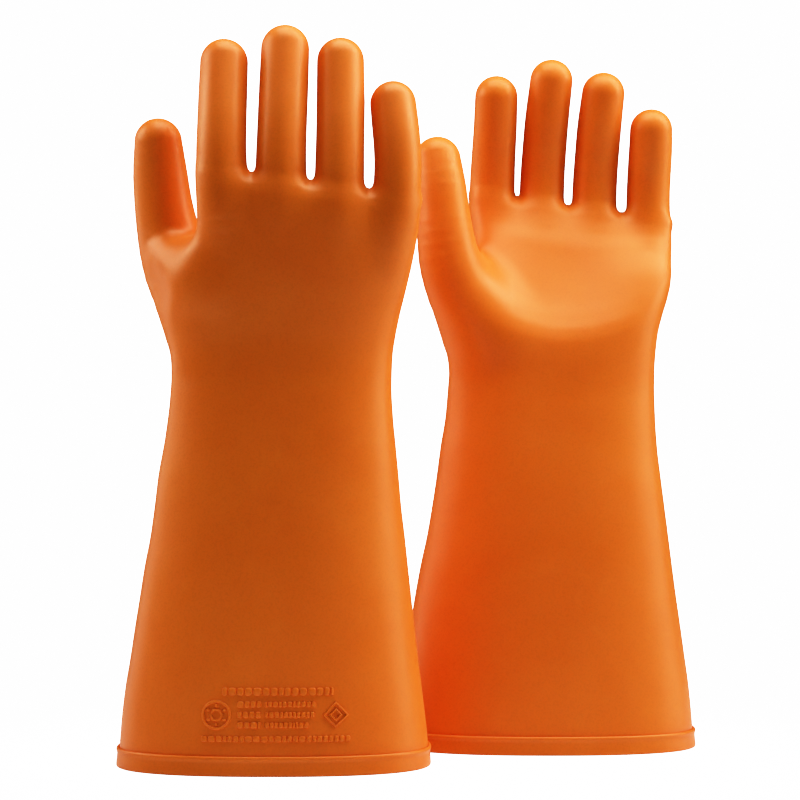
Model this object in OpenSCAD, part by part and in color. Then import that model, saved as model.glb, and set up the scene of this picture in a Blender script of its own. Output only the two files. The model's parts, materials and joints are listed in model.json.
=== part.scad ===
// A pair of moulded rubber insulating gloves with long flared cuffs, standing on their cuffs.
// The right-hand glove stands in front with its back to the front (-Y); the left-hand glove stands behind it with its palm to the front.
// Each glove is drawn in its own frame, with the middle of its cuff opening at the origin, the palm side towards +Y and the thumb towards -X.
// The left-hand glove is the mirror image of the right-hand one.

/* [Cuff] */
// Width of the cuff at its open end
cuff_width = 173; // [165:1:180]
// Depth of the cuff at its open end
cuff_depth = 106; // [98:1:110]
// Wall thickness of the rubber
wall = 2.4; // [1.6:0.1:3]
// Height of the bead band around the open end
band_height = 10.5; // [8:0.5:13]
// How far the bead band stands out from the cuff
band_thick = 1.4; // [1:0.1:2]
// How far the raised marking stands out from the cuff
marking_height = 0.7; // [0.4:0.1:1.2]

/* [Arm and hand] */
// Height of the crease where the hand bends back
back_crease_z = 190; // [182:1:195]
// Height of the crease where the hand bends towards the palm
palm_crease_z = 225; // [220:1:229]
// Depth of the hollow in the palm
palm_hollow = 6; // [2:0.5:8]
// How much wider or narrower the hand is than the drawn size
hand_gain = 0; // [-2:0.5:2]

/* [Fingers] */
// How much thicker or thinner each finger is than the drawn radius
finger_gain = 0; // [-0.8:0.1:0.6]
// How much longer or shorter each finger is than the drawn length
finger_stretch = 0; // [-5:0.5:8]
// Gap between two stretches that bend against each other
crease_gap = 0.3; // [0.2:0.1:0.6]

/* [Layout] */
// Distance between the middles of the two gloves, sideways
pair_spacing = 152.4; // [150:0.2:240]
// Distance between the middles of the two gloves, front to back
pair_depth = 82; // [76:1:140]

/* [Hidden] */
half_gap = crease_gap / 2;
rubber = [0.88, 0.38, 0.07];
// the middle of the cuff opening lies half a millimetre off the middle of the bead band
x_right = -pair_spacing / 2 - 0.5;
x_left = pair_spacing / 2 - 0.5;

// Cuff and wrist: height, left edge, right edge, middle in depth, half depth, roundness power
arm = [
  [0,   -86,   87,   0,    53,   2.5],
  [25,  -83.5, 84.8, 0,    51,   2.5],
  [60,  -78.5, 81.3, 0,    47.8, 2.45],
  [100, -72,   75.8, 0,    43.7, 2.4],
  [140, -65,   71,   0,    38.9, 2.35],
  [170, -60.3, 67.4, 0,    34.9, 2.3],
  [190, -57.3, 65.8, -0.2, 32.2, 2.3],
  [200, -56,   65.1, -0.6, 30.9, 2.3],
  [212, -55.4, 64.8, -1.6, 29.6, 2.3],
  [225, -55.8, 65.3, -3,   28.2, 2.3],
  [235, -57.5, 66.4, -4.7, 27.8, 2.35]
];
// Palm without thumb: height, left edge, right edge, middle in depth, half depth to the back, half depth to the palm, roundness power, share of the hollow
palm = [
  [225, -55.8, 65.3, -3,    28.2, 28.2, 2.3, 0],
  [235, -57.2, 66.4, -4.7,  27.8, 27.6, 2.35, 0],
  [245, -57.5, 68.2, -6.5,  27.2, 26.8, 2.4, 0.2],
  [255, -56,   70.6, -8.5,  26.4, 25.6, 2.5, 0.5],
  [265, -53.5, 73,   -10.5, 25.2, 24,   2.6, 0.8],
  [275, -50,   75.3, -12.3, 23.6, 22,   2.7, 1],
  [285, -46,   77,   -14,   21.4, 20,   2.8, 1],
  [295, -42.5, 78.4, -15.5, 18.8, 17.8, 2.9, 0.7],
  [305, -40.6, 79.3, -17,   16.2, 15.4, 3,  0.3],
  [312, -40.3, 79.6, -17.8, 13.6, 13.2, 3,  0],
  [317, -39.6, 79,   -18,   9.5,  9,    3,  0]
];
// Fingers: name, middle at the root, at the middle crease and at the tip, radius at root and tip, height of the fork beside it, of its two creases and of its tip
digits = [
  ["index",  -27.2, -26,  -25,  13.3, 12.6, 317, 329,   364, 395],
  ["middle",   4,     6,    6.8, 13.5, 13,   317, 329,   368, 404],
  ["ring",    35.5,  37.3,  37,  13.3, 12.7, 313, 325,   361, 396.4],
  ["little",  66.4,  66,    65.8, 13,  12.3, 310, 321.5, 350, 373.4]
];
finger_y_root = -18;
finger_y_mid = -19.5;
finger_y_tip = -16;
// Thumb: middle and radius down its length
thumb = [
  [-30, -4, 248, 23],
  [-52,  2, 283, 19],
  [-61.8, 5, 311, 15],
  [-64.4, 5, 341.6, 13.9]
];
// the root crease of the thumb runs from the fork of thumb and forefinger down to the outer edge of the hand
thumb_fork = [-45.5, 0, 309];
thumb_heel = [-76, 0, 285];
thumb_bend = 0.6;
sides = 32;
finger_sides = 20;

function at(t, z, k) = lookup(z, [for (r = t) [r[0], r[k]]]);
function spow(c, p) = sign(c) * pow(abs(c), p);
function oval(cx, cy, a, bd, bp, n, z, count) = [
  for (i = [0:count - 1])
    let (t = 360 * i / count, c = cos(t), s = sin(t))
      [cx + a * spow(c, 2 / n), cy + (s < 0 ? bd : bp) * spow(s, 2 / n), z]
];
function arm_gain(z) = [(cuff_width - 173) / 2 * (1 - z / 225), (cuff_depth - 106) / 2 * (1 - z / 225)];
function arm_ring(z, off) =
  let (xl = at(arm, z, 1), xr = at(arm, z, 2), b = at(arm, z, 4) + off + max(0, arm_gain(z)[1]) + min(0, arm_gain(z)[1]))
    oval((xl + xr) / 2, at(arm, z, 3), (xr - xl) / 2 + off + arm_gain(z)[0], b, b, at(arm, z, 5), z, sides);
function palm_ring(z, off) =
  let (xl = at(palm, z, 1), xr = at(palm, z, 2), h = at(palm, z, 7) * palm_hollow, g = hand_gain * (z - 225) / 85,
       pts = oval((xl + xr) / 2, at(palm, z, 3), (xr - xl) / 2 + off + g, at(palm, z, 4) + off, at(palm, z, 5) + off, at(palm, z, 6), z, sides))
    [for (p = pts) p[1] > at(palm, z, 3) ? [p[0], p[1] - h * exp(-pow((p[0] - 16) / 27, 2)), z] : p];
function circle_ring(x, y, z, r, count) = [for (i = [0:count - 1]) [x + r * cos(360 * i / count), y + r * sin(360 * i / count), z]];
function tilted_ring(p, u, r, count) =
  let (e1 = cross([0, 1, 0], u) / norm(cross([0, 1, 0], u)), e2 = cross(u, e1))
    [for (i = [0:count - 1]) p + r * cos(360 * i / count) * e1 + r * sin(360 * i / count) * e2];
function flat(l) = [for (a = l) for (b = a) b];
function back(l) = [for (i = [len(l) - 1:-1:0]) l[i]];

// A closed skin through rings of points: a ring-shaped tube when wrapped, or a cup whose two ends close on single points
module skin(rings, first = undef, last = undef) {
  n = len(rings[0]);
  m = len(rings);
  wrapped = is_undef(first);
  pts = concat(flat(rings), wrapped ? [] : [first, last]);
  sides_faces = [
    for (i = [0:(wrapped ? m - 1 : m - 2)], j = [0:n - 1])
      let (a = i * n + j, b = i * n + (j + 1) % n, c = ((i + 1) % m) * n + (j + 1) % n, d = ((i + 1) % m) * n + j)
        each [[a, d, c], [a, c, b]]
  ];
  caps = wrapped ? [] : concat(
    [for (j = [0:n - 1]) [m * n, j, (j + 1) % n]],
    [for (j = [0:n - 1]) [m * n + 1, (m - 1) * n + (j + 1) % n, (m - 1) * n + j]]);
  polyhedron(points = pts, faces = concat(sides_faces, caps), convexity = 4);
}
module solid_loft(rings) {
  n = len(rings[0]);
  m = len(rings);
  faces = concat(
    [for (i = [0:m - 2], j = [0:n - 1])
      let (a = i * n + j, b = i * n + (j + 1) % n, c = (i + 1) * n + (j + 1) % n, d = (i + 1) * n + j)
        each [[a, d, c], [a, c, b]]],
    [[for (j = [0:n - 1]) j], [for (j = [n - 1:-1:0]) (m - 1) * n + j]]);
  polyhedron(points = flat(rings), faces = faces, convexity = 4);
}

// ---------- cuff ----------
module gauntlet() {
  zs = [0, 12, 25, 42, 60, 80, 100, 120, 140, 155, 170, back_crease_z - half_gap];
  skin(concat([for (z = zs) arm_ring(z, 0)], back([for (z = zs) arm_ring(z, -wall)])));
}
// the bead band laps over the outside of the cuff and is bonded to it
module cuff_band() {
  h = band_height;
  outer = [[0, band_thick * 0.35], [0.9, band_thick * 0.85], [2.2, band_thick], [h - 0.9, band_thick * 1.05], [h, band_thick * 0.6]];
  skin(concat([for (p = outer) arm_ring(p[0], p[1])], [arm_ring(h, -0.25), arm_ring(h / 2, -0.25), arm_ring(0, -0.25)]));
}
module wrist() {
  lo = back_crease_z + half_gap;
  hi = palm_crease_z - half_gap;
  zs = [lo, lo + (hi - lo) * 0.33, lo + (hi - lo) * 0.67, hi];
  skin(concat([for (z = zs) arm_ring(z, 0)], back([for (z = zs) arm_ring(z, -wall)])));
}

// ---------- raised marking on the back of the cuff ----------
function cuff_back(x, z) =
  let (xl = at(arm, z, 1), xr = at(arm, z, 2), n = at(arm, z, 5), g = arm_gain(z), a = (xr - xl) / 2 + g[0], u = abs(x - (xl + xr) / 2) / a)
    -(at(arm, z, 4) + g[1]) * pow(1 - pow(u, n), 1 / n);
module raised_bar(x0, x1, z, w) {
  k = max(2, ceil((x1 - x0) / 6));
  rings = [for (i = [0:k]) let (x = x0 + (x1 - x0) * i / k)
    [[x, cuff_back(x, z - w / 2) - marking_height, z - w / 2], [x, cuff_back(x, z + w / 2) - marking_height, z + w / 2],
     [x, cuff_back(x, z + w / 2) + 0.6, z + w / 2], [x, cuff_back(x, z - w / 2) + 0.6, z - w / 2]]];
  n = 4;
  m = len(rings);
  faces = concat(
    [for (i = [0:m - 2], j = [0:n - 1]) let (a = i * n + j, b = i * n + (j + 1) % n, c = (i + 1) * n + (j + 1) % n, d = (i + 1) * n + j) each [[a, c, d], [a, b, c]]],
    [[3, 2, 1, 0], [for (j = [0:3]) (m - 1) * n + j]]);
  polyhedron(points = flat(rings), faces = faces);
}
module raised_ring(cx, cz, r0, r1, count, turn = 0) {
  f = function(r, t, d) let (x = cx + r * cos(t + turn), z = cz + r * sin(t + turn)) [x, cuff_back(x, z) + d, z];
  ts = [for (i = [0:count - 1]) 360 * i / count];
  skin([[for (t = ts) f(r1, t, -marking_height)], [for (t = ts) f(r0, t, -marking_height)], [for (t = ts) f(r0, t, 0.6)], [for (t = ts) f(r1, t, 0.6)]]);
}
module marking() {
  raised_bar(-24, 34, 44, 3);
  raised_ring(-27, 32, 6.2, 7.4, 24);
  raised_ring(-27, 32, 1.6, 3.4, 6);
  raised_bar(-16, 26, 37.5, 2.6);
  raised_bar(-16, 26, 32, 2.6);
  raised_bar(-16, 19, 26.5, 2.6);
  raised_ring(37, 32, 5.2, 6.6, 4, 45);
  raised_bar(-34, 42, 19.5, 2.4);
}

// ---------- hand ----------
function digit_y(z, d) = lookup(z, [[d[6], finger_y_root], [d[8], finger_y_mid], [d[9], finger_y_tip]]);
function digit_x(z, d) = lookup(z, [[d[6], d[1]], [d[8], d[2]], [d[9], d[3]]]);
function digit_tip(d) = d[9] + finger_stretch;
function digit_r(z, d) = lookup(z, [[d[7], d[4]], [d[9], d[5]]]) + finger_gain;

module ball(p, r) {
  translate(p) sphere(r = r, $fn = 22);
}
module disc(x, y, z, r) {
  translate([x, y, z]) cylinder(r = r, h = 0.2, $fn = 22);
}
// the mass of the hand up to the finger creases; off shrinks it evenly for the inside
module hand_mass(off, top_gap) {
  solid_loft([for (z = [palm_crease_z - 6, 235, 245, 255, 265, 275, 285, 295, 305, 312, 317 + off * 0.7]) palm_ring(z, off)]);
  for (d = digits) {
    hull() {
      disc(d[1], finger_y_root + 1.4, 296, d[4] + 0.9 + finger_gain + off);
      disc(d[1], finger_y_root + 0.2, d[6] - 4, d[4] + 0.7 + finger_gain + off);
    }
    hull() {
      disc(d[1], finger_y_root + 0.2, d[6] - 4, d[4] + 0.7 + finger_gain + off);
      disc(digit_x(d[7], d), digit_y(d[7], d), d[7] - half_gap - 0.2 + (off < 0 ? 1 : 0), digit_r(d[7], d) + off);
    }
  }
  for (i = [0:1]) hull() {
    ball([thumb[i][0], thumb[i][1], thumb[i][2]], thumb[i][3] + off);
    ball([thumb[i + 1][0], thumb[i + 1][1], thumb[i + 1][2]], thumb[i + 1][3] + off);
  }
  hull() {
    ball([thumb[2][0], thumb[2][1], thumb[2][2]], thumb[2][3] + off);
    ball(thumb_point(0.95), thumb_r(0.95) + off);
  }
}
function thumb_point(t) = let (a = thumb[2], b = thumb[3]) [a[0] + (b[0] - a[0]) * t, a[1] + (b[1] - a[1]) * t, a[2] + (b[2] - a[2]) * t];
function thumb_r(t) = thumb[2][3] + (thumb[3][3] - thumb[2][3]) * t;
thumb_u = (thumb_point(1) - thumb_point(0)) / norm(thumb_point(1) - thumb_point(0));
fork_angle = atan2(thumb_fork[2] - thumb_heel[2], thumb_fork[0] - thumb_heel[0]);
// the half space on the thumb side of the root crease, moved back from it by gap
module thumb_side(gap) {
  n = [-sin(fork_angle), cos(fork_angle)];
  fork = [thumb_fork[0], thumb_fork[2]] + n * gap;
  heel = [thumb_heel[0], thumb_heel[2]] + n * gap;
  translate([0, 100, 0]) rotate([90, 0, 0]) linear_extrude(200)
    polygon([fork, [fork[0] + 1.5, 420], [-300, 420], [-300, 0], heel + (heel - fork) * 2]);
}
// everything above the thumb's second crease
module thumb_above(gap) {
  p = thumb_point(thumb_bend);
  translate(p) rotate([0, atan2(thumb_u[0], thumb_u[2]), 0]) translate([-60, -60, gap]) cube([120, 120, 120]);
}
module hand_shell() {
  difference() {
    hand_mass(0, 0);
    hand_mass(-wall, 0);
  }
}
module hand() {
  difference() {
    hand_shell();
    translate([-200, -200, palm_crease_z + half_gap - 100]) cube([400, 400, 100]);
    thumb_side(-half_gap);
    // the finger roots stay open at their creases
    for (d = digits) disc_cut(d);
  }
}
module disc_cut(d) {
  translate([digit_x(d[7], d), digit_y(d[7], d), d[7] - half_gap]) cylinder(r = 14.8, h = 20, $fn = 22);
}
module thumb_base() {
  difference() {
    intersection() {
      hand_shell();
      thumb_side(half_gap);
    }
    thumb_above(-half_gap);
    translate([-200, -200, palm_crease_z + half_gap - 100]) cube([400, 400, 100]);
  }
}
module thumb_tip() {
  r0 = thumb_r(thumb_bend);
  r1 = thumb_r(1) - 0.1;
  p0 = thumb_point(thumb_bend) + thumb_u * half_gap;
  p1 = thumb_point(1);
  outer = concat([tilted_ring(p0, thumb_u, r0, finger_sides), tilted_ring(p1, thumb_u, r1, finger_sides)],
    [for (t = [25, 48, 68]) tilted_ring(p1 + thumb_u * r1 * sin(t), thumb_u, r1 * cos(t), finger_sides)]);
  inner = concat([tilted_ring(p0, thumb_u, r0 - wall, finger_sides), tilted_ring(p1, thumb_u, r1 - wall, finger_sides)],
    [for (t = [25, 48, 68]) tilted_ring(p1 + thumb_u * (r1 - wall) * sin(t), thumb_u, (r1 - wall) * cos(t), finger_sides)]);
  skin(concat(back(inner), outer), p1 + thumb_u * (r1 - wall), p1 + thumb_u * r1);
}
module digit_base(d) {
  lo = d[7] + half_gap;
  hi = d[8] + finger_stretch * 0.4 - half_gap;
  f = function(z, off) circle_ring(digit_x(z, d), digit_y(z, d), z, digit_r(z, d) + off, finger_sides);
  zs = [lo, (lo + hi) / 2, hi];
  skin(concat([for (z = zs) f(z, 0)], back([for (z = zs) f(z, -wall)])));
}
module digit_cap(d) {
  lo = d[8] + finger_stretch * 0.4 + half_gap;
  r1 = digit_r(d[9], d);
  hc = digit_tip(d) - r1;
  f = function(z, off) circle_ring(digit_x(z, d), digit_y(z, d), z, digit_r(z, d) + off, finger_sides);
  zs = [lo, hc];
  xt = digit_x(hc, d);
  yt = digit_y(hc, d);
  x2 = digit_x(digit_tip(d), d) - xt;
  y2 = digit_y(digit_tip(d), d) - yt;
  dome = function(r) [for (t = [25, 48, 68]) circle_ring(xt + x2 * sin(t), yt + y2 * sin(t), hc + r * sin(t), r * cos(t), finger_sides)];
  outer = concat([for (z = zs) f(z, 0)], dome(digit_r(hc, d)));
  inner = concat([for (z = zs) f(z, -wall)], dome(digit_r(hc, d) - wall));
  top = hc + digit_r(hc, d);
  skin(concat(back(inner), outer), [xt + x2, yt + y2, top - wall], [xt + x2, yt + y2, top]);
}

module glove_right() {
  translate([x_right, -pair_depth / 2, 0]) color(rubber) children();
}
module glove_left() {
  translate([x_left, pair_depth / 2, 0]) mirror([0, 1, 0]) color(rubber) children();
}

module right_cuff_band() { glove_right() cuff_band(); }
module right_gauntlet() { glove_right() gauntlet(); }
module right_marking() { glove_right() marking(); }
module right_wrist() { glove_right() wrist(); }
module right_hand() { glove_right() hand(); }
module right_thumb_base() { glove_right() thumb_base(); }
module right_thumb_tip() { glove_right() thumb_tip(); }
module right_index_base() { glove_right() digit_base(digits[0]); }
module right_index_tip() { glove_right() digit_cap(digits[0]); }
module right_middle_base() { glove_right() digit_base(digits[1]); }
module right_middle_tip() { glove_right() digit_cap(digits[1]); }
module right_ring_base() { glove_right() digit_base(digits[2]); }
module right_ring_tip() { glove_right() digit_cap(digits[2]); }
module right_little_base() { glove_right() digit_base(digits[3]); }
module right_little_tip() { glove_right() digit_cap(digits[3]); }
module left_cuff_band() { glove_left() cuff_band(); }
module left_gauntlet() { glove_left() gauntlet(); }
module left_marking() { glove_left() marking(); }
module left_wrist() { glove_left() wrist(); }
module left_hand() { glove_left() hand(); }
module left_thumb_base() { glove_left() thumb_base(); }
module left_thumb_tip() { glove_left() thumb_tip(); }
module left_index_base() { glove_left() digit_base(digits[0]); }
module left_index_tip() { glove_left() digit_cap(digits[0]); }
module left_middle_base() { glove_left() digit_base(digits[1]); }
module left_middle_tip() { glove_left() digit_cap(digits[1]); }
module left_ring_base() { glove_left() digit_base(digits[2]); }
module left_ring_tip() { glove_left() digit_cap(digits[2]); }
module left_little_base() { glove_left() digit_base(digits[3]); }
module left_little_tip() { glove_left() digit_cap(digits[3]); }

right_cuff_band();
right_gauntlet();
right_marking();
right_wrist();
right_hand();
right_thumb_base();
right_thumb_tip();
right_index_base();
right_index_tip();
right_middle_base();
right_middle_tip();
right_ring_base();
right_ring_tip();
right_little_base();
right_little_tip();
left_cuff_band();
left_gauntlet();
left_marking();
left_wrist();
left_hand();
left_thumb_base();
left_thumb_tip();
left_index_base();
left_index_tip();
left_middle_base();
left_middle_tip();
left_ring_base();
left_ring_tip();
left_little_base();
left_little_tip();
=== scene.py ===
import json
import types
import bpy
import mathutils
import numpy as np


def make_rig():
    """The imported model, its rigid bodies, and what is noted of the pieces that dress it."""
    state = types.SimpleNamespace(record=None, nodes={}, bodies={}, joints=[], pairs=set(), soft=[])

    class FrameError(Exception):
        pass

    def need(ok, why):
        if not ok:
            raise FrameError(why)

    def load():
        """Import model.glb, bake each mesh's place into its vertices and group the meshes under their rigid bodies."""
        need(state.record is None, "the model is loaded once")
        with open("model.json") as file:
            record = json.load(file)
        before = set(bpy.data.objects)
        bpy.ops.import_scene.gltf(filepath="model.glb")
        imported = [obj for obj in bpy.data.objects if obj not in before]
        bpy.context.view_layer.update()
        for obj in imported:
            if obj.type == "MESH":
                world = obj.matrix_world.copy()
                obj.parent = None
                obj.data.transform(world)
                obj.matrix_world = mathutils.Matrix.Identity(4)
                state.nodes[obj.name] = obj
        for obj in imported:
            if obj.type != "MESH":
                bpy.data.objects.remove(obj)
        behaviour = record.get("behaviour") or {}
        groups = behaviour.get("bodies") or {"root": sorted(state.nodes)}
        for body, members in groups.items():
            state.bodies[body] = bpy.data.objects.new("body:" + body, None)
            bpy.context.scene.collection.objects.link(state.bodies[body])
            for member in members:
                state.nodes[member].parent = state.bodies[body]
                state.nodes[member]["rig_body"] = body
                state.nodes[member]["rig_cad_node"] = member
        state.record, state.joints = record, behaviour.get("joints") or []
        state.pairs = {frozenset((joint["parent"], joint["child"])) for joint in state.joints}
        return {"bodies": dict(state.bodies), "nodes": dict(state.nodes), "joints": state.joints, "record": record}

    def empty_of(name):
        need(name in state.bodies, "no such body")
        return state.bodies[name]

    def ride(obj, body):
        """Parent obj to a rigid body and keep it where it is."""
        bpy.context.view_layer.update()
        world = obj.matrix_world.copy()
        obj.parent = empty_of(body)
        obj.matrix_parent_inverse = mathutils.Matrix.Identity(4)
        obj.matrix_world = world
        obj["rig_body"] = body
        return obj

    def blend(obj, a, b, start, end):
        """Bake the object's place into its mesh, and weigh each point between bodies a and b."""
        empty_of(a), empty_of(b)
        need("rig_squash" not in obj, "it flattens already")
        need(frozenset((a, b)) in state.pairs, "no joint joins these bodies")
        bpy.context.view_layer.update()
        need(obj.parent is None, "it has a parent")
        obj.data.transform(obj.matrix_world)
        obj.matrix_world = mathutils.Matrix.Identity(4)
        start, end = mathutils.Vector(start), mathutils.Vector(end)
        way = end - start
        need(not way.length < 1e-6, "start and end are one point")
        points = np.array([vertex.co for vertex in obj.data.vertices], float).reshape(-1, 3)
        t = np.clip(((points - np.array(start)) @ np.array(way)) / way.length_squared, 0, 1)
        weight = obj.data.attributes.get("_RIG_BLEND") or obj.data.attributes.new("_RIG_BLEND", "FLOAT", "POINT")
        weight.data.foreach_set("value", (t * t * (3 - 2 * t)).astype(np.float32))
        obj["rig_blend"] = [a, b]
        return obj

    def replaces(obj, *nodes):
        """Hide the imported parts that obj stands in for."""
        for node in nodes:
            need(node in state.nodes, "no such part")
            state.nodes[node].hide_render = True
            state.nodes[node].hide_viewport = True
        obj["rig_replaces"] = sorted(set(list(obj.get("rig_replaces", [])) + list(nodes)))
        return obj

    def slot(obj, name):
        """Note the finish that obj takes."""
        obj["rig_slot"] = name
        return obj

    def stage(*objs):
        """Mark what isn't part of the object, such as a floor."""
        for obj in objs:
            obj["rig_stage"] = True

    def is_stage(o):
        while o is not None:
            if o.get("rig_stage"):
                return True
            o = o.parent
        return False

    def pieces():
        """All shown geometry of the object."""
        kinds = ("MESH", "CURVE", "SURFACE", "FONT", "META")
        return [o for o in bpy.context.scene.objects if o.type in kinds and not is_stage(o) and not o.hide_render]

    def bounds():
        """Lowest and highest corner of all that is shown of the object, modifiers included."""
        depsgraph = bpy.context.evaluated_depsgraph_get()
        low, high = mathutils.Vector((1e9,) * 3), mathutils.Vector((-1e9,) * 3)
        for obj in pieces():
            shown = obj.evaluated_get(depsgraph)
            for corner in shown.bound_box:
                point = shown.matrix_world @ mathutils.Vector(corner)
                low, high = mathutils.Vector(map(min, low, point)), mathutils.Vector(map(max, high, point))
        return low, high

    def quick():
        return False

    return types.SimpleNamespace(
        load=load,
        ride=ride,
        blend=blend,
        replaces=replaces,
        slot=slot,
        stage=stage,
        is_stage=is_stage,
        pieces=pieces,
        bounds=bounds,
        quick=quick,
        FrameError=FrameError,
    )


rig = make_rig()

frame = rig.load()
import bpy, bmesh, json, math
import numpy as np
from mathutils import Vector, Matrix

cad_lo, cad_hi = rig.bounds()

# ------------------------------------------------------------------ layout (metres and the gloves' own millimetres)
# Each glove is shaped in its own frame in millimetres, as in the CAD: middle of the cuff opening at the origin, thumb at -X, palm at +Y.
WALL = 2.4
PLACE = {"right": (-76.7, -41.0, 1.0), "left": (75.7, 41.0, -1.0)}


def to_row(side, p):
    x, y, s = PLACE[side]
    p = np.asarray(p, float)
    out = np.empty_like(p)
    out[..., 0] = (p[..., 0] + x) / 1000
    out[..., 1] = (p[..., 1] * s + y) / 1000
    out[..., 2] = p[..., 2] / 1000
    return out


# ------------------------------------------------------------------ smooth curves through given values
def curve(knots):
    """Smooth curve through (position, value) pairs that doesn't overshoot between them."""
    t = np.array([k[0] for k in knots], float)
    v = np.array([k[1] for k in knots], float)
    h = np.diff(t)
    d = np.diff(v) / h
    m = np.zeros_like(v)
    m[0], m[-1] = d[0], d[-1]
    for i in range(1, len(v) - 1):
        if d[i - 1] * d[i] > 0:
            w1, w2 = 2 * h[i] + h[i - 1], h[i] + 2 * h[i - 1]
            m[i] = (w1 + w2) / (w1 / d[i - 1] + w2 / d[i])

    def f(x):
        x = np.clip(x, t[0], t[-1])
        i = np.clip(np.searchsorted(t, x) - 1, 0, len(h) - 1)
        s = (x - t[i]) / h[i]
        s2, s3 = s * s, s * s * s
        return (2 * s3 - 3 * s2 + 1) * v[i] + (s3 - 2 * s2 + s) * h[i] * m[i] + (-2 * s3 + 3 * s2) * v[i + 1] + (s3 - s2) * h[i] * m[i + 1]

    return f


def step(a, b, x):
    t = np.clip((x - a) / (b - a), 0, 1)
    return t * t * (3 - 2 * t)


def smin(a, b, k):
    return np.minimum(a, b) - np.maximum(k - np.abs(a - b), 0) ** 2 / (4 * k)


def smax(a, b, k):
    return -smin(-a, -b, k)


# ------------------------------------------------------------------ the glove's form
# Edges of the outline seen from the front, for each glove: the two are not quite mirror images in the photographed pair
EDGES = {
    "right": (
        curve([(-6, -84.6), (0, -84.2), (9, -83.6), (25, -82.5), (42, -80.6), (58, -78), (75, -75.5), (91, -73), (108, -70.4), (124, -67.4), (140, -65.2), (157, -63.2), (179, -59.4), (200, -56.9), (212, -56.2), (223, -56.3), (235, -57.4), (246, -57.6), (257, -54.6), (268, -48.6), (278, -43), (288, -39), (297, -37.4), (308, -36.8), (322, -36.6)]),
        curve([(-6, 85.6), (0, 85.2), (15, 84.4), (25, 83.3), (42, 81.3), (53, 79.8), (70, 77.8), (91, 75.6), (108, 73.8), (124, 72.1), (140, 70.2), (157, 68.7), (173, 67.2), (190, 65.6), (206, 64.8), (212, 64.9), (223, 65.4), (233, 66.8), (244, 69), (255, 71.6), (266, 74), (277, 75.9), (288, 77), (299, 77.4), (310, 77.2), (322, 77)]),
    ),
    "left": (
        curve([(-6, -85.6), (0, -85.2), (25, -83.1), (47, -80.2), (70, -76.8), (86, -74.3), (104, -71), (121, -67.3), (139, -64.2), (156, -61.6), (174, -59.2), (191, -56.4), (208, -54.9), (218, -54.2), (226, -54.2), (235, -55.4), (246, -55.8), (257, -53.4), (268, -47.8), (278, -42.6), (288, -38.8), (297, -36.8), (308, -36.2), (322, -36)]),
        curve([(-6, 88.4), (0, 88), (16, 87), (34, 85.4), (53, 82.9), (70, 80.6), (91, 77.7), (113, 75), (139, 71.8), (157, 69.6), (173, 67.8), (191, 66.7), (208, 66.3), (218, 66.5), (227, 67.1), (239, 68.6), (251, 71.7), (263, 75.2), (274, 77.4), (284, 78.2), (299, 78), (310, 77.2), (322, 77)]),
    ),
}
BACK = curve([(-6, -53.4), (0, -53), (25, -51), (60, -47.8), (100, -43.7), (140, -38.9), (170, -35.2), (190, -32.8), (204, -31.2), (214, -30.2), (226, -30.4), (240, -32), (254, -34.2), (266, -36.3), (277, -38.1), (288, -39.6), (297, -40.4), (304, -40.2), (310, -38.6), (314, -36), (318, -32), (322, -26)])
PALM = curve([(-6, 53.4), (0, 53), (25, 51), (60, 47.8), (100, 43.7), (140, 38.8), (170, 34.4), (190, 31.6), (212, 28.6), (225, 27.6), (233, 26.6), (240, 24.2), (248, 19.6), (257, 14), (266, 8.8), (275, 4), (284, -0.4), (293, -4.6), (301, -8.9), (307, -12.2), (312, -15), (316, -17), (322, -19.6)])
ROUND = curve([(-6, 2.5), (0, 2.5), (60, 2.45), (140, 2.35), (212, 2.3), (250, 2.5), (285, 2.9), (310, 3), (322, 2.8)])

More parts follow.
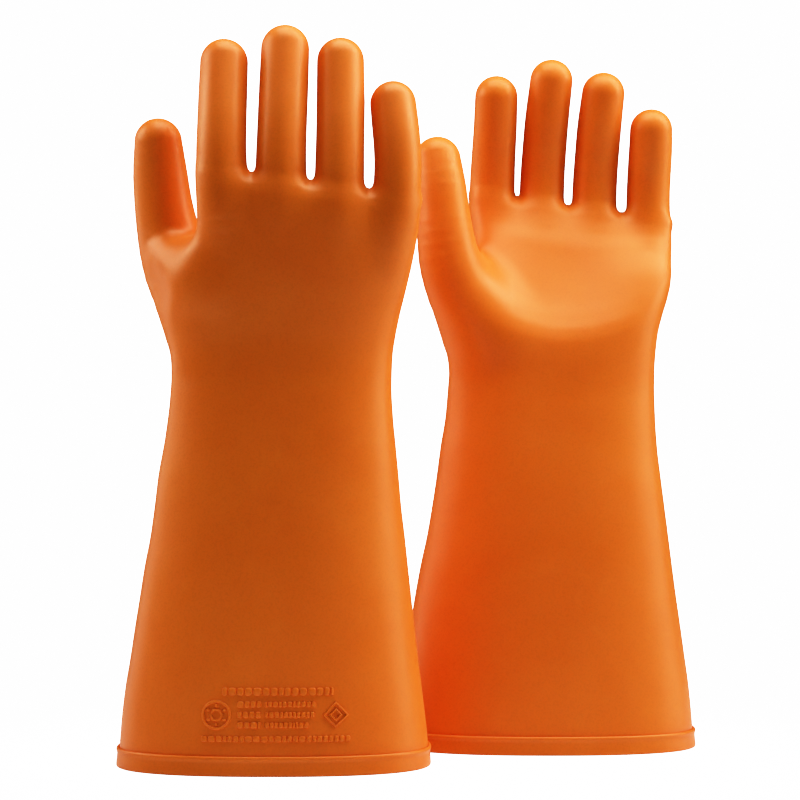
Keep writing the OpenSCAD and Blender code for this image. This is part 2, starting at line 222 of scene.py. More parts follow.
# Digits: middle x, y, z and radius down each one
DIGITS = {
    "right": {
        "index": [(-24.8, -22, 284, 9.5), (-25.8, -25.6, 300, 12.7), (-26.5, -26.8, 316, 13.9), (-27.1, -26.0, 331, 13.6), (-27.1, -23.2, 346, 13.4), (-27.0, -18.6, 362, 13.3), (-26.8, -12.2, 383.0, 13.1)],
        "middle": [(3.6, -22, 286, 10), (4.5, -25.6, 303, 13.2), (5.1, -26.8, 319, 13.8), (5.3, -26.0, 334, 13.5), (5.7, -23.2, 350, 13.4), (6.1, -18.6, 367, 13.4), (6.6, -12.0, 390.6, 13.2)],
        "ring": [(35.3, -20.8, 283, 9.8), (36.0, -24.4, 299, 12.9), (36.6, -25.6, 315, 13.4), (36.9, -24.8, 330, 13.2), (37.1, -22.0, 345, 13.1), (37.1, -17.6, 361, 13.1), (36.9, -11.4, 384.0, 12.9)],
        "little": [(62.0, -18, 274, 9), (65.2, -21.2, 291, 11.9), (67.5, -22.8, 309, 12.9), (68.3, -22.4, 324, 12.8), (67.8, -20.2, 338, 12.8), (66.8, -17.2, 349, 12.8), (65.7, -13.8, 360.2, 12.5)],
        "thumb": [(-30, 4, 240, 19.6), (-42, 8, 253, 20.8), (-51.4, 11, 267, 19.9), (-56.8, 13, 281, 18.5), (-60.4, 13.6, 296, 17.1), (-62.6, 12.6, 310, 16.0), (-64.0, 10.6, 325, 15.1), (-64.7, 6.4, 342.2, 13.2)],
        "web": [(-29, -15, 259, 12), (-41, -10, 266.5, 15), (-49, -4, 272, 15.5), (-54, 3, 276.5, 15.5)],
    },
    "left": {
        "index": [(-25.0, -22, 284, 9.5), (-26.6, -27.4, 300, 12.8), (-27.6, -30.0, 318, 13.6), (-27.4, -29.8, 333, 13.5), (-26.8, -26.9, 348, 13.2), (-26.0, -22.8, 363, 13.0), (-25.4, -18.0, 382.6, 12.7)],
        "middle": [(1.2, -22, 286, 10), (1.7, -27.4, 303, 13.0), (2.3, -30.0, 321, 13.4), (2.9, -29.8, 337, 13.3), (3.8, -26.9, 352, 13.2), (4.9, -22.8, 368, 13.1), (7.5, -18.0, 392.4, 12.7)],
        "ring": [(33.0, -20.8, 283, 9.8), (33.6, -26.2, 299, 12.9), (33.8, -28.8, 317, 13.4), (34.3, -28.6, 332, 13.3), (35.2, -25.7, 348, 13.2), (36.3, -21.6, 364, 13.2), (38.4, -17.0, 384.4, 12.7)],
        "little": [(61.8, -18, 274, 9), (64.5, -23.0, 291, 12.0), (65.9, -26.0, 309, 13.1), (66.1, -25.9, 325, 13.0), (66.5, -23.3, 339, 13.0), (66.9, -20.0, 351, 12.9), (67.0, -17.2, 362.6, 12.6)],
        "thumb": [(-28.6, 4, 240, 19.4), (-39.4, 8, 253, 20.2), (-48.8, 11, 267, 19.2), (-53.9, 13, 281, 18.0), (-56.5, 13.6, 296, 16.6), (-57.8, 12.6, 310, 15.5), (-59.2, 10.6, 325, 14.9), (-61.0, 6.8, 341.6, 13.7)],
        "web": [(-29, -15, 253, 12), (-40, -10, 258.5, 14.5), (-47, -4, 262.5, 15), (-51, 3, 265.2, 15)],
    },
}
BLEND = {"index": 8.0, "middle": 8.0, "ring": 8.0, "little": 8.0, "thumb": 18.0, "web": 14.0}
TOP = {"right": 314.0, "left": 316.1}


def spline(points, n):
    """n points on a smooth curve through the given points, in all their columns."""
    p = np.array(points, float)
    d = np.concatenate([[0], np.cumsum(np.linalg.norm(np.diff(p[:, :3], axis=0), axis=1))])
    fs = [curve(list(zip(d, p[:, k]))) for k in range(p.shape[1])]
    # a Catmull-Rom pass keeps the curve smooth where a value turns round
    t = np.linspace(0, d[-1], n)
    i = np.clip(np.searchsorted(d, t) - 1, 0, len(d) - 2)
    m = np.gradient(p, d, axis=0)
    h = (d[i + 1] - d[i])[:, None]
    s = ((t - d[i])[:, None]) / h
    return (2 * s**3 - 3 * s**2 + 1) * p[i] + (s**3 - 2 * s**2 + s) * h * m[i] + (-2 * s**3 + 3 * s**2) * p[i + 1] + (s**3 - s**2) * h * m[i + 1]


CHAINS, LEFT, RIGHT, KNUCKLES = {}, None, None, None


def use(side):
    """Sets which of the two gloves the form below describes."""
    global LEFT, RIGHT, KNUCKLES
    LEFT, RIGHT = EDGES[side]
    KNUCKLES = TOP[side]
    CHAINS.clear()
    CHAINS.update({k: spline(v, 18) for k, v in DIGITS[side].items()})


def chain(P, c):
    """Distance to a tube of changing radius along a chain of points."""
    best = np.full(len(P), 1e3)
    for a, b in zip(c[:-1], c[1:]):
        ab = b[:3] - a[:3]
        L2 = ab @ ab
        t = np.clip(((P - a[:3]) @ ab) / L2, 0, 1)
        q = P - a[:3] - t[:, None] * ab
        best = np.minimum(best, np.sqrt((q * q).sum(1)) - (a[3] + t * (b[3] - a[3])))
    return best


def body(P):
    x, y, z = P[:, 0], P[:, 1], P[:, 2]
    up = step(244, 302, z)
    zz = z + up * 0.125 * (x - 20.5)
    # the heel of the hand is an arc, lowest in the middle of the palm
    arc = 24 * np.tanh(0.42 * ((x - 14) / 40) ** 2)
    zp = zz - arc * step(216, 240, z) * (1 - step(272, 312, z))
    xl, xr, n = LEFT(zz), RIGHT(zz), ROUND(zz)
    # the knuckles fall away towards the little finger
    yd = BACK(zz) + step(228, 290, zz) * 0.0021 * np.maximum(x - 8, 0) ** 2
    yp0 = PALM(zz)
    # the palm side follows the arc only over its middle, so that its edge joins the back smoothly
    yp = PALM(np.clip(zp, -6, 322))
    cx, a = (xl + xr) / 2, (xr - xl) / 2
    yc = (yd + yp0) / 2
    palmar = y > yc
    b = np.maximum(np.where(palmar, yp - yc, yc - yd), 2.0)
    X, Y = np.abs(x - cx) / a, np.abs(y - yc) / b
    rho = (X**n + Y**n + 1e-12) ** (1 / n)
    g = rho ** (1 - n) * np.sqrt((X ** (n - 1) / a) ** 2 + (Y ** (n - 1) / b) ** 2)
    d = (rho - 1) / np.maximum(g, 1e-3)
    d = np.clip(d, -60, 200)
    return smax(d, zz - KNUCKLES, 6)


def form(P):
    """Below 0 inside the glove's outer skin."""
    f = body(P)
    # how much each digit adds over the hand; where two meet, their fillets run together
    added = np.zeros_like(f)
    for name, c in CHAINS.items():
        reach = c[:, 3].max() + 2 * BLEND[name] + 6
        lo, hi = c[:, :3].min(0) - reach, c[:, :3].max(0) + reach
        m = np.all((P > lo) & (P < hi), axis=1)
        if not m.any():
            continue
        # the thumb runs into the palm in a wider sweep than into the back
        k = BLEND[name] if name != "thumb" else 14 + 4 * step(-22, 6, P[m, 1])
        a, b = added[m], f[m] - smin(f[m], chain(P[m], c), k)
        k = a * b / (a + b + 1e-6)
        k = 5.0 * k / (k + 1.2) + 1e-6
        added[m] = np.maximum(a, b) + np.maximum(k - np.abs(a - b), 0) ** 2 / (4 * k)
    return f - added


def gradient(P, h=0.2):
    g = np.empty_like(P)
    for k in range(3):
        e = np.zeros(3)
        e[k] = h
        g[:, k] = (form(P + e) - form(P - e)) / (2 * h)
    return g


def surface(h):
    """Surface nets: a quad mesh of the form's skin on a grid of step h, settled on the exact surface."""
    lo, hi = np.array([-92.0, -58.0, -8.0]), np.array([94.0, 58.0, 410.0])
    n = np.ceil((hi - lo) / h).astype(int) + 1
    axes = [lo[k] + h * np.arange(n[k]) for k in range(3)]
    F = np.empty(n)
    for i, x in enumerate(axes[0]):
        Y, Z = np.meshgrid(axes[1], axes[2], indexing="ij")
        F[i] = form(np.column_stack([np.full(Y.size, x), Y.ravel(), Z.ravel()])).reshape(Y.shape)
    inside = F < 0
    corners = [(i, j, k) for i in (0, 1) for j in (0, 1) for k in (0, 1)]
    sl = lambda o: tuple(slice(o[k], n[k] - 1 + o[k]) for k in range(3))
    count = sum(inside[sl(o)].astype(np.int8) for o in corners)
    cells = np.argwhere((count > 0) & (count < 8))
    index = -np.ones(n - 1, int)
    index[tuple(cells.T)] = np.arange(len(cells))
    total, hits = np.zeros((len(cells), 3)), np.zeros(len(cells))
    for a in corners:
        for k in range(3):
            if a[k]:
                continue
            b = tuple(a[m] + (m == k) for m in range(3))
            fa, fb = F[tuple((cells + a).T)], F[tuple((cells + b).T)]
            m = (fa < 0) != (fb < 0)
            t = fa[m] / (fa[m] - fb[m])
            p = np.tile(np.array(a, float), (m.sum(), 1))
            p[:, k] += t
            total[m] += p
            hits[m] += 1
    V = lo + h * (cells + total / hits[:, None])
    quads = []
    for k in range(3):
        u, v = (k + 1) % 3, (k + 2) % 3
        fa = np.take(inside, range(0, n[k] - 1), axis=k)
        fb = np.take(inside, range(1, n[k]), axis=k)
        e = np.argwhere(fa != fb)
        ok = (e[:, u] > 0) & (e[:, v] > 0) & (e[:, u] < n[u] - 1) & (e[:, v] < n[v] - 1)
        e = e[ok]
        du, dv = np.eye(3, dtype=int)[u], np.eye(3, dtype=int)[v]
        q = np.stack([index[tuple((e - du - dv).T)], index[tuple((e - dv).T)], index[tuple(e.T)], index[tuple((e - du).T)]], 1)
        out = inside[tuple(e.T)]  # inside below, outside above: the quad faces +k
        q[~out] = q[~out][:, ::-1]
        quads.append(q)
    Q = np.concatenate(quads)
    for _ in range(4):
        g = gradient(V)
        V = V - np.clip(form(V) / np.maximum((g * g).sum(1), 0.05), -h, h)[:, None] * g
    return V, Q


# ------------------------------------------------------------------ cutting the skin at its creases
# name: (height of the piece's start, height where the base piece hands over to the tip piece, root blend, curl blend)
CUTS = {
    "index": (325.2, 349.5, (326, 348), (351, 377)),
    "middle": (325.2, 351.5, (326, 349), (353, 381)),
    "ring": (321.0, 346.5, (322, 344), (348, 373)),
    "little": (317.6, 338.0, (318, 336.5), (339, 361)),
}
SPAN = {"index": (-42, -11.2), "middle": (-11.2, 20.6), "ring": (20.6, 51.8), "little": (51.8, 95)}
N1 = np.array([-0.6184, 0, 0.7859])
FORK = np.array([-45.5, 0, 309.0])
T_START, T_DONE = 3.0, 17.0
U2 = np.array([-0.0847, 0, 0.9964])
T_MID = np.array([-63.4, 5.0, 330.5])
WRIST = 207.5


def cut_skin(V, Q):
    """Cuts the quad mesh at every piece's border. Returns vertices, faces and each face's piece."""
    me = bpy.data.meshes.new("skin")
    me.from_pydata(V.tolist(), [], Q.tolist())
    bm = bmesh.new()
    bm.from_mesh(me)
    bpy.data.meshes.remove(me)

    def bisect(co, no, keep):
        faces = [f for f in bm.faces if keep(f.calc_center_median())]
        geom = list({v for f in faces for v in f.verts}) + list({e for f in faces for e in f.edges}) + faces
        return bmesh.ops.bisect_plane(bm, geom=geom, plane_co=co, plane_no=no, dist=1e-4)

    bmesh.ops.bisect_plane(bm, geom=bm.verts[:] + bm.edges[:] + bm.faces[:], plane_co=(0, 0, 0), plane_no=(0, 0, 1), dist=1e-4, clear_inner=True)
    bisect((0, 0, WRIST), (0, 0, 1), lambda c: WRIST - 6 < c.z < WRIST + 6)
    for d, (z0, z1, _, _) in CUTS.items():
        a, b = SPAN[d]
        for z in (z0, z1):
            bisect((0, 0, z), (0, 0, 1), lambda c: z - 5 < c.z < z + 5 and a < c.x < b)
    p = FORK + T_START * N1
    bisect(p, N1, lambda c: c.x < -43.6 and abs((c - Vector(p)).dot(Vector(N1))) < 6)
    bisect(T_MID, U2, lambda c: c.x < -43.6 and c.z > 322)
    bm.verts.ensure_lookup_table()
    for i, v in enumerate(bm.verts):
        v.index = i
    verts = np.array([v.co for v in bm.verts], float)
    faces = [[v.index for v in f.verts] for f in bm.faces]
    c = np.array([f.calc_center_median() for f in bm.faces], float)
    bm.free()
    part = np.full(len(faces), "palm", dtype=object)
    part[c[:, 2] < WRIST] = "cuff"
    for d, (z0, z1, _, _) in CUTS.items():
        a, b = SPAN[d]
        m = (c[:, 0] > a) & (c[:, 0] < b) & (c[:, 2] > z0)
        part[m] = d + "_root"
        part[m & (c[:, 2] > z1)] = d + "_end"
    m = ((c - p) @ N1 > 0) & (c[:, 0] < -43.6)
    part[m] = "thumb_root"
    part[m & ((c - T_MID) @ U2 > 0) & (c[:, 2] > 322)] = "thumb_end"
    return verts, faces, part


def closed_piece(V, N, faces, hem=False):
    """A shell with the wall's thickness: the outer skin, the inner skin, and a strip round each open border."""
    used = sorted({i for f in faces for i in f})
    at = {v: i for i, v in enumerate(used)}
    n = len(used)
    outer = V[used]
    inner = outer - WALL * N[used]
    inner[:, 2] = np.where(outer[:, 2] < 0.01, 0.0, inner[:, 2])
    F = [[at[i] for i in f] for f in faces]
    edges = {}
    for f in F:
        for a, b in zip(f, f[1:] + f[:1]):
            edges[(a, b)] = 1
    border = [(a, b) for a, b in edges if (b, a) not in edges]
    G = F + [[n + i for i in reversed(f)] for f in F] + [[b, a, n + a, n + b] for a, b in border]
    verts = np.vstack([outer, inner])
    normals = np.vstack([N[used], -N[used]])
    kinds = [0] * len(F) + [1] * len(F) + [2] * len(border)
    return verts, G, normals, kinds


# ------------------------------------------------------------------ materials
def rubber(name, base, deep, rough, grain=1.0, lift=0.0):
    """Satin moulded rubber: cloudy colour, faint flow marks, fine skin grain, dusty bloom and a soft inner glow."""
    m = bpy.data.materials.new(name)
    m.use_nodes = True
    nt = m.node_tree
    nt.nodes.clear()
    N = lambda kind, **kw: (lambda n: ([setattr(n, k, v) for k, v in kw.items()], n)[1])(nt.nodes.new(kind))
    L = nt.links.new
    out = N("ShaderNodeOutputMaterial")
    bsdf = N("ShaderNodeBsdfPrincipled")
    L(bsdf.outputs["BSDF"], out.inputs["Surface"])
    geo = N("ShaderNodeTexCoord")

    def noise(scale, detail, rough_, distortion=0.0):
        n = N("ShaderNodeTexNoise")
        n.inputs["Scale"].default_value = scale
        n.inputs["Detail"].default_value = detail
        n.inputs["Roughness"].default_value = rough_
        n.inputs["Distortion"].default_value = distortion
        L(geo.outputs["Object"], n.inputs["Vector"])
        return n.outputs["Fac"]

    def ramp(fac, stops):
        r = N("ShaderNodeValToRGB")
        while len(r.color_ramp.elements) > 1:
            r.color_ramp.elements.remove(r.color_ramp.elements[-1])
        r.color_ramp.elements[0].position, r.color_ramp.elements[0].color = stops[0][0], (*stops[0][1], 1)
        for pos, col in stops[1:]:
            e = r.color_ramp.elements.new(pos)
            e.color = (*col, 1)
        L(fac, r.inputs["Fac"])
        return r.outputs["Color"]

    clouds = noise(16, 4, 0.55, 0.6)
    body = ramp(clouds, [(0.30, deep), (0.70, base)])
    specks = noise(900, 2, 0.6)
    bloom = noise(55, 6, 0.65, 1.5)
    mask = N("ShaderNodeMath", operation="MULTIPLY_ADD")
    L(ramp(bloom, [(0.52, (0, 0, 0)), (0.80, (1, 1, 1))]), mask.inputs[0])
    mask.inputs[1].default_value = 0.10
    mask.inputs[2].default_value = 0.0
    mix = N("ShaderNodeMix", data_type="RGBA")
    L(mask.outputs[0], mix.inputs["Factor"])
    L(body, mix.inputs["A"])
    mix.inputs["B"].default_value = (min(base[0] * 1.12 + 0.02, 1), base[1] * 1.5 + 0.02, base[2] + 0.03, 1)
    mix2 = N("ShaderNodeMix", data_type="RGBA", blend_type="MULTIPLY")
    mix2.inputs["Factor"].default_value = 0.35
    L(mix.outputs["Result"], mix2.inputs["A"])
    L(ramp(specks, [(0.32, (0.80, 0.78, 0.76)), (0.55, (1, 1, 1))]), mix2.inputs["B"])
    L(mix2.outputs["Result"], bsdf.inputs["Base Color"])

    rg = N("ShaderNodeMapRange")
    L(noise(38, 5, 0.6, 0.8), rg.inputs["Value"])
    rg.inputs["From Min"].default_value, rg.inputs["From Max"].default_value = 0.25, 0.75
    rg.inputs["To Min"].default_value, rg.inputs["To Max"].default_value = rough - 0.06, rough + 0.07
    L(rg.outputs["Result"], bsdf.inputs["Roughness"])

    b1 = N("ShaderNodeBump")
    b1.inputs["Strength"].default_value = 0.22 * grain
    b1.inputs["Distance"].default_value = 0.0016
    L(noise(24, 3, 0.5, 0.4), b1.inputs["Height"])
    b2 = N("ShaderNodeBump")
    b2.inputs["Strength"].default_value = 0.10 * grain
    b2.inputs["Distance"].default_value = 0.00025
    L(noise(620, 4, 0.6), b2.inputs["Height"])
    L(b1.outputs["Normal"], b2.inputs["Normal"])
    L(b2.outputs["Normal"], bsdf.inputs["Normal"])

    bsdf.inputs["Subsurface Weight"].default_value = 0.12
    bsdf.inputs["Subsurface Radius"].default_value = (1.0, 0.28, 0.06)
    bsdf.inputs["Subsurface Scale"].default_value = 0.004
    bsdf.inputs["IOR"].default_value = 1.5
    bsdf.inputs["Specular IOR Level"].default_value = 0.52
    bsdf.inputs["Specular Tint"].default_value = (1.0, 0.72, 0.46, 1)
    bsdf.inputs["Sheen Weight"].default_value = 0.06
    bsdf.inputs["Sheen Roughness"].default_value = 0.45
    bsdf.inputs["Sheen Tint"].default_value = (1.0, 0.55, 0.18, 1)
    return m


BASE, DEEP = (0.88, 0.216, 0.034), (0.84, 0.190, 0.027)
MATS = {}
for side in ("right", "left"):
    MATS[side, "rubber"] = rubber(f"rubber_{side}", BASE, DEEP, 0.40)
    MATS[side, "band"] = rubber(f"band_{side}", BASE, DEEP, 0.36, 0.8)
    MATS[side, "marking"] = rubber(f"marking_{side}", BASE, DEEP, 0.38, 0.5)
# The inner skin and the wall's edge strips take a darker, redder copy of the rubber colour: painted shade for the
# inside of the glove. Its higher roughness and stronger grain are surface finish.
INSIDE = rubber("rubber_inside", (0.80, 0.18, 0.03), (0.72, 0.15, 0.02), 0.55, 1.2)


def piece(side, name, V, faces, normals, slot, kinds=None):
    """Makes one piece from a glove's own millimetres."""
    V, normals = np.asarray(V, float), None if normals is None else np.array(normals, float)
    if PLACE[side][2] < 0:
        faces = [list(reversed(f)) for f in faces]
        if normals is not None:
            normals[:, 1] *= -1
    me = bpy.data.meshes.new(f"{side}_{name}")
    me.from_pydata(to_row(side, V).tolist(), [], faces)
    me.polygons.foreach_set("use_smooth", [True] * len(me.polygons))
    o = bpy.data.objects.new(f"{side}_{name}", me)
    bpy.context.scene.collection.objects.link(o)
    me.materials.append(MATS[side, slot])
    if kinds is not None:
        me.materials.append(INSIDE)
        me.polygons.foreach_set("material_index", [min(k, 1) for k in kinds])
        for p, k in zip(me.polygons, kinds):
            if k == 2:
                p.use_smooth = False
    me.update()
    if normals is not None:
        length = np.linalg.norm(normals, axis=1, keepdims=True)
        normals = normals / np.maximum(length, 1e-9)
        if kinds is None:
            me.normals_split_custom_set_from_vertices(normals.tolist())
        else:
            loops = np.empty(len(me.loops), int)
            me.loops.foreach_get("vertex_index", loops)
            ln = normals[loops]
            for p, k in zip(me.polygons, kinds):
                if k == 2:
                    ln[p.loop_start:p.loop_start + p.loop_total] = p.normal
            me.normals_split_custom_set(ln.tolist())
    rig.slot(o, f"{slot}_{side}")
    return o


# ------------------------------------------------------------------ the bead band round the open end
def outline(z, count):
    """The outer skin's outline at a height, with its outward direction."""
    zz = np.array([z], float)
    xl, xr, n, yd, yp = LEFT(zz)[0], RIGHT(zz)[0], ROUND(zz)[0], BACK(zz)[0], PALM(zz)[0]
    t = np.linspace(0, 2 * np.pi, 4 * count, endpoint=False)
    c, s = np.cos(t), np.sin(t)
    x = (xl + xr) / 2 + (xr - xl) / 2 * np.sign(c) * np.abs(c) ** (2 / n)
    y = (yd + yp) / 2 + (yp - yd) / 2 * np.sign(s) * np.abs(s) ** (2 / n)
    p = np.column_stack([x, y])
    d = np.linalg.norm(np.roll(p, -1, 0) - p, axis=1)
    a = np.concatenate([[0], np.cumsum(d)])
    u = np.linspace(0, a[-1], count, endpoint=False)
    q = np.column_stack([np.interp(u, a, np.append(p[:, k], p[0, k])) for k in range(2)])
    t2 = np.roll(q, -1, 0) - np.roll(q, 1, 0)
    nrm = np.column_stack([t2[:, 1], -t2[:, 0]])
    return q, nrm / np.linalg.norm(nrm, axis=1, keepdims=True)


def band(side):
    prof = [(-0.35, 0.0), (0.45, 0.0), (0.9, 0.2), (1.15, 0.6), (1.25, 1.3), (1.2, 3), (1.12, 5), (1.1, 6.8), (1.2, 7.8), (1.46, 8.4), (1.68, 9.0), (1.72, 9.5), (1.58, 10.0), (1.22, 10.4), (0.78, 10.6), (0.36, 10.5), (0.05, 10.1), (-0.35, 9.6), (-0.35, 5)]
    count = 300
    rings = []
    for o, z in prof:
        q, n = outline(z, count)
        rings.append(np.column_stack([q + n * o, np.full(count, z)]))
    V = np.concatenate(rings)
    m = len(prof)
    F = [[i * count + j, i * count + (j + 1) % count, ((i + 1) % m) * count + (j + 1) % count, ((i + 1) % m) * count + j] for i in range(m) for j in range(count)]
    o = piece(side, "bead_band", V, F, None, "band")
    o.data.set_sharp_from_angle(angle=math.radians(50))
    return o


# ------------------------------------------------------------------ the raised marking on the back of the cuff
def cuff_point(x, z, h):
    """Point and height h over the cuff's back at x, z."""
    x, z = np.asarray(x, float), np.asarray(z, float)
    xl, xr, n, yd, yp = LEFT(z), RIGHT(z), ROUND(z), BACK(z), PALM(z)
    u = np.abs(x - (xl + xr) / 2) / ((xr - xl) / 2)
    y = (yd + yp) / 2 - (yp - yd) / 2 * (1 - u**n) ** (1 / n)
    P = np.column_stack([x, y, z])
    g = gradient(P)
    g /= np.linalg.norm(g, axis=1, keepdims=True)
    return P + np.asarray(h)[:, None] * g


PROFILE = [(0.30, -0.5), (0.26, 0.05), (0.12, 0.52), (-0.02, 0.76), (-0.24, 0.85)]


def pill(cx, cz, w, h, turn=0.0, r=None):
    """A rounded block: rings of (x, z, height) and a cap."""
    r = min(w, h) / 2 * 0.75 if r is None else r
    pts = []
    for qx, qz, a0 in ((1, 1, 0), (-1, 1, 90), (-1, -1, 180), (1, -1, 270)):
        for k in range(4):
            a = math.radians(a0 + 30 * k)
            pts.append((qx * (w / 2 - r), qz * (h / 2 - r), math.cos(a), math.sin(a)))
    rings = []
    c, s = math.cos(turn), math.sin(turn)
    for inset, hh in PROFILE:
        ring = []
        for px, pz, dx, dz in pts:
            k = max(r + inset, 0.05)
            a, b = px + k * dx, pz + k * dz
            ring.append((cx + a * c - b * s, cz + a * s + b * c, hh))
        rings.append(ring)
    return rings, True


def hoop(cx, cz, r0, r1, count=48, turn=0.0):
    """A raised ring, or a frame with few corners."""
    rings = []
    loop = [(r1 + i, h) for i, h in PROFILE] + [(r0 - i, h) for i, h in reversed(PROFILE)]
    for r, h in loop:
        rings.append([(cx + r * math.cos(turn + 2 * math.pi * k / count), cz + r * math.sin(turn + 2 * math.pi * k / count), h) for k in range(count)])
    return rings, False


def marking(side):
    rng = np.random.RandomState(7)
    shapes = []

    def row(x0, x1, z, h, gap=0.75, widths=(1.2, 3.4)):
        x = x0
        while x < x1 - 0.8:
            w = min(rng.uniform(*widths), x1 - x)
            shapes.append(pill(x + w / 2, z, w, h))
            x += w + gap

    row(-24, 34, 44.2, 3.6, 0.9, (2.2, 4.2))
    for z, x1 in ((37.6, 25), (32.2, 25), (26.8, 22)):
        row(-16, -4, z, 2.9, 0.7, (2.0, 3.4))
        row(-1.5, x1, z, 2.5, 0.6, (1.0, 2.6))
    row(-35, 43, 19.6, 2.7, 0.7, (1.6, 3.6))
    shapes.append(hoop(-27.2, 32, 6.6, 7.6))
    shapes.append(hoop(-27.2, 32, 2.6, 3.5, 6))
    for k in range(6):
        a = math.radians(30 + 60 * k)
        shapes.append(pill(-27.2 + 5.0 * math.cos(a), 32 + 5.0 * math.sin(a), 1.5, 0.9, a))
    shapes.append(hoop(35.6, 32, 5.6, 6.6, 4, 0.0))
    shapes.append(hoop(35.6, 32, 2.3, 3.2, 4, 0.0))
    pts, F, base = [], [], 0
    for rings, cap in shapes:
        n, m = len(rings[0]), len(rings)
        pts += [p for r in rings for p in r]
        for i in range(m - 1 if cap else m):
            j2 = (i + 1) % m
            for j in range(n):
                F.append([base + i * n + j, base + i * n + (j + 1) % n, base + j2 * n + (j + 1) % n, base + j2 * n + j])
        if cap:
            F.append([base + (m - 1) * n + j for j in range(n)])
            F.append([base + j for j in reversed(range(n))])
        base += n * m
    pts = np.array(pts)
    V = cuff_point(pts[:, 0], pts[:, 1], pts[:, 2])
    o = piece(side, "raised_marking", V, F, None, "marking")
    o.data.set_sharp_from_angle(angle=math.radians(60))
    return o


# ------------------------------------------------------------------ both gloves
STEP = 4.0 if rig.quick() else 2.0
NAMES = {"cuff": "cuff_skin", "palm": "hand_skin", "thumb_root": "thumb_root_skin", "thumb_end": "thumb_end_skin"}
for d in CUTS:
    NAMES[d + "_root"], NAMES[d + "_end"] = f"{d}_root_skin", f"{d}_end_skin"

for side in ("right", "left"):
    use(side)
    V, F, PART = cut_skin(*surface(STEP))
    NRM = gradient(V)
    NRM /= np.maximum(np.linalg.norm(NRM, axis=1, keepdims=True), 1e-9)
    made = {}
    for part in NAMES:
        faces = [f for f, p in zip(F, PART) if p == part]
        verts, G, normals, kinds = closed_piece(V, NRM, faces)
        made[part] = piece(side, NAMES[part], verts, G, normals, "rubber", kinds)
    at = lambda x, y, z: tuple(to_row(side, np.array([x, y, z])).tolist())
    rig.blend(made["cuff"], f"{side}_cuff", f"{side}_wrist_ring", start=at(0, 0, 168), end=at(0, 0, 206.5))
    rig.blend(made["palm"], f"{side}_wrist_ring", f"{side}_palm", start=at(0, 0, 208.5), end=at(0, 0, 243))
    for d, (z0, z1, a, b) in CUTS.items():
        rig.blend(made[d + "_root"], f"{side}_palm", f"{side}_{d}_base_body", start=at(0, 0, a[0]), end=at(0, 0, a[1]))
        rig.blend(made[d + "_end"], f"{side}_{d}_base_body", f"{side}_{d}_tip_body", start=at(0, 0, b[0]), end=at(0, 0, b[1]))
        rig.replaces(made[d + "_root"], f"{side}_{d}_base")
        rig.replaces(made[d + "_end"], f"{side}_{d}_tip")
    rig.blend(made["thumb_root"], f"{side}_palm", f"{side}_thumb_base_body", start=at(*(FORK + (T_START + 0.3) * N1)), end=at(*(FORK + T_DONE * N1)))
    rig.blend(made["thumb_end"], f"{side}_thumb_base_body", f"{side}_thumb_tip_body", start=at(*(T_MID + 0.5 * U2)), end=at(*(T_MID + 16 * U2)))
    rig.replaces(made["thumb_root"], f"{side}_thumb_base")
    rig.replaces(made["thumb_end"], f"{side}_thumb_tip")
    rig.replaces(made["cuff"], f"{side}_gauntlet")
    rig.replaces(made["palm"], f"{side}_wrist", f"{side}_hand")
    b = band(side)
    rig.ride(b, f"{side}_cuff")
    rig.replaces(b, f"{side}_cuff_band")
    m = marking(side)
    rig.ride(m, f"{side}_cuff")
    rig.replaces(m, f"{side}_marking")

# ------------------------------------------------------------------ camera
CAMERA_FAR = 1.2075
cam = bpy.data.cameras.new("camera")
cam.sensor_width = 36.0
cam.lens = 98.2 * CAMERA_FAR / 1.2
co = bpy.data.objects.new("camera", cam)
bpy.context.scene.collection.objects.link(co)
co.location = (-0.0073, -0.041 - CAMERA_FAR, 0.1670)
co.rotation_euler = (math.radians(90 + 1.514), 0, 0)
bpy.context.scene.camera = co

# ------------------------------------------------------------------ floor and light
def flat_material(name, col, rough):
    m = bpy.data.materials.new(name)
    m.use_nodes = True
    b = m.node_tree.nodes["Principled BSDF"]
    b.inputs["Base Color"].default_value = (*col, 1)
    b.inputs["Roughness"].default_value = rough
    return m


me = bpy.data.meshes.new("floor")
r = 30.0
me.from_pydata([(-r, -r, 0), (r, -r, 0), (r, r, 0), (-r, r, 0)], [], [[0, 1, 2, 3]])
floor = bpy.data.objects.new("floor", me)
bpy.context.scene.collection.objects.link(floor)
m = flat_material("floor_white", (0.9, 0.9, 0.9), 0.6)
nt = m.node_tree
# far from the gloves the floor is plain white, as the backdrop is
glow = nt.nodes.new("ShaderNodeEmission")
glow.inputs["Color"].default_value = (1, 1, 1, 1)
glow.inputs["Strength"].default_value = 5.0
seen = nt.nodes.new("ShaderNodeMixShader")
path = nt.nodes.new("ShaderNodeLightPath")
coord = nt.nodes.new("ShaderNodeTexCoord")
far = nt.nodes.new("ShaderNodeVectorMath")
far.operation = "LENGTH"
fade = nt.nodes.new("ShaderNodeMapRange")
fade.interpolation_type = "SMOOTHSTEP"
fade.inputs["From Min"].default_value = 0.16
fade.inputs["From Max"].default_value = 0.34
fade.inputs["To Min"].default_value = 0.72
both = nt.nodes.new("ShaderNodeMath")
both.operation = "MULTIPLY"
nt.links.new(coord.outputs["Object"], far.inputs[0])
nt.links.new(far.outputs["Value"], fade.inputs["Value"])
nt.links.new(fade.outputs["Result"], both.inputs[0])
nt.links.new(path.outputs["Is Camera Ray"], both.inputs[1])
nt.links.new(both.outputs[0], seen.inputs["Fac"])
nt.links.new(nt.nodes["Principled BSDF"].outputs[0], seen.inputs[1])
nt.links.new(glow.outputs[0], seen.inputs[2])
nt.links.new(seen.outputs[0], nt.nodes["Material Output"].inputs["Surface"])
me.materials.append(m)
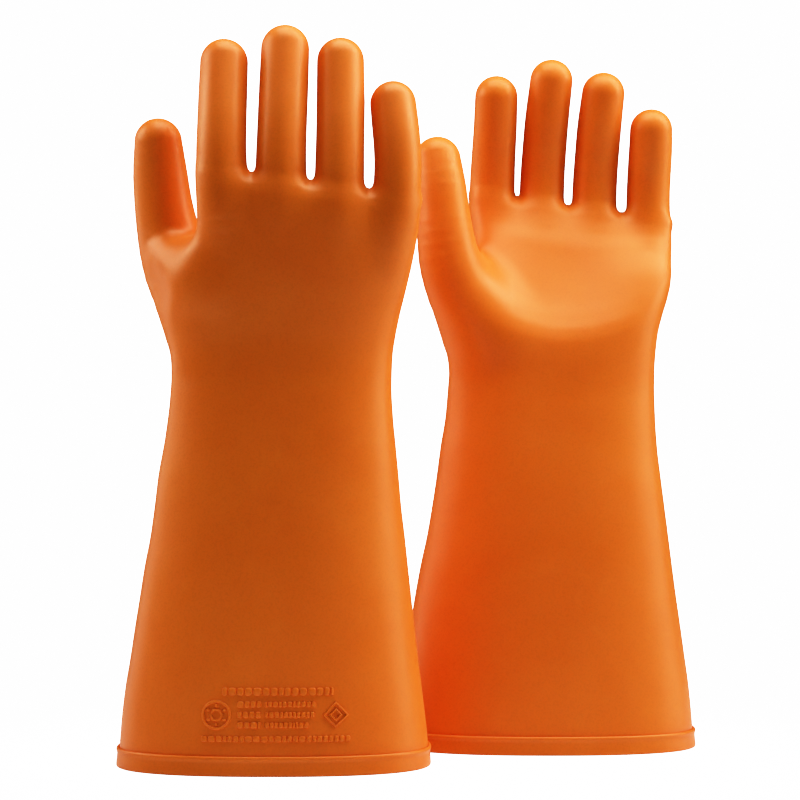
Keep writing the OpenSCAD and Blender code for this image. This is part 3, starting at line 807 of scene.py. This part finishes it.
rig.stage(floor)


def softbox(name, loc, target, w, h, power, col=(1, 1, 1)):
    l = bpy.data.lights.new(name, "AREA")
    l.shape = "RECTANGLE"
    l.size, l.size_y = w, h
    l.energy = power
    l.color = col
    o = bpy.data.objects.new(name, l)
    bpy.context.scene.collection.objects.link(o)
    o.location = loc
    o.rotation_euler = (Vector(target) - Vector(loc)).to_track_quat("-Z", "Y").to_euler()
    o.visible_camera = False
    return o


TOP_TINT, SIDE_TINT = (0.94, 1.0, 1.0), (1.0, 0.98, 0.92)
softbox("left_softbox", (-0.90, 0.0, 0.75), (0, 0, 0.2), 0.5, 0.6, 8.5, SIDE_TINT)
softbox("left_back_softbox", (-1.15, 0.55, 0.40), (0, 0, 0.2), 0.8, 1.1, 5.4, SIDE_TINT)
softbox("right_softbox", (0.90, 0.0, 0.75), (0, 0, 0.2), 0.5, 0.6, 6.1, SIDE_TINT)
softbox("right_low_softbox", (1.30, 0.0, 0.35), (0, 0, 0.2), 0.8, 1.1, 9.3, SIDE_TINT)
softbox("top_softbox", (0.0, -0.1, 0.95), (0, 0, 0.2), 0.6, 0.5, 8.5, TOP_TINT)
softbox("top_right_softbox", (0.55, -0.05, 0.95), (0, 0, 0.2), 0.5, 0.5, 7.6, TOP_TINT)

w = bpy.data.worlds.new("studio")
bpy.context.scene.world = w
w.use_nodes = True
nt = w.node_tree
nt.nodes.clear()
o = nt.nodes.new("ShaderNodeOutputWorld")
seen = nt.nodes.new("ShaderNodeBackground")
seen.inputs["Color"].default_value = (1, 1, 1, 1)
seen.inputs["Strength"].default_value = 5.0
lit = nt.nodes.new("ShaderNodeBackground")
lit.inputs["Color"].default_value = (1, 1, 1, 1)
lit.inputs["Strength"].default_value = 0.01
mix = nt.nodes.new("ShaderNodeMixShader")
path = nt.nodes.new("ShaderNodeLightPath")
nt.links.new(path.outputs["Is Camera Ray"], mix.inputs["Fac"])
nt.links.new(lit.outputs[0], mix.inputs[1])
nt.links.new(seen.outputs[0], mix.inputs[2])
nt.links.new(mix.outputs[0], o.inputs["Surface"])

bpy.context.scene.view_settings.view_transform = "Standard"
# a photograph's tone curve: rich darks and a soft shoulder, so that bright orange turns yellow rather than clipping
look = bpy.context.scene.view_settings
look.use_curve_mapping = True
WHITE = 4.0
look.curve_mapping.white_level = (WHITE, WHITE, WHITE)
tone = look.curve_mapping.curves[3]
for x in (0.0, 0.006, 0.012, 0.025, 0.05, 0.08, 0.12, 0.17, 0.23, 0.3, 0.4, 0.52, 0.7, 1.0):
    y = 1 - math.exp(-((WHITE * x) ** 1.5))
    if x in (0.0, 1.0):
        tone.points[0 if x == 0 else len(tone.points) - 1].location = (x, y)
    else:
        tone.points.new(x, y)
look.curve_mapping.update()

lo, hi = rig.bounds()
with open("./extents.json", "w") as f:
    json.dump({"cad": [list(cad_lo), list(cad_hi)], "visual": [list(lo), list(hi)]}, f)
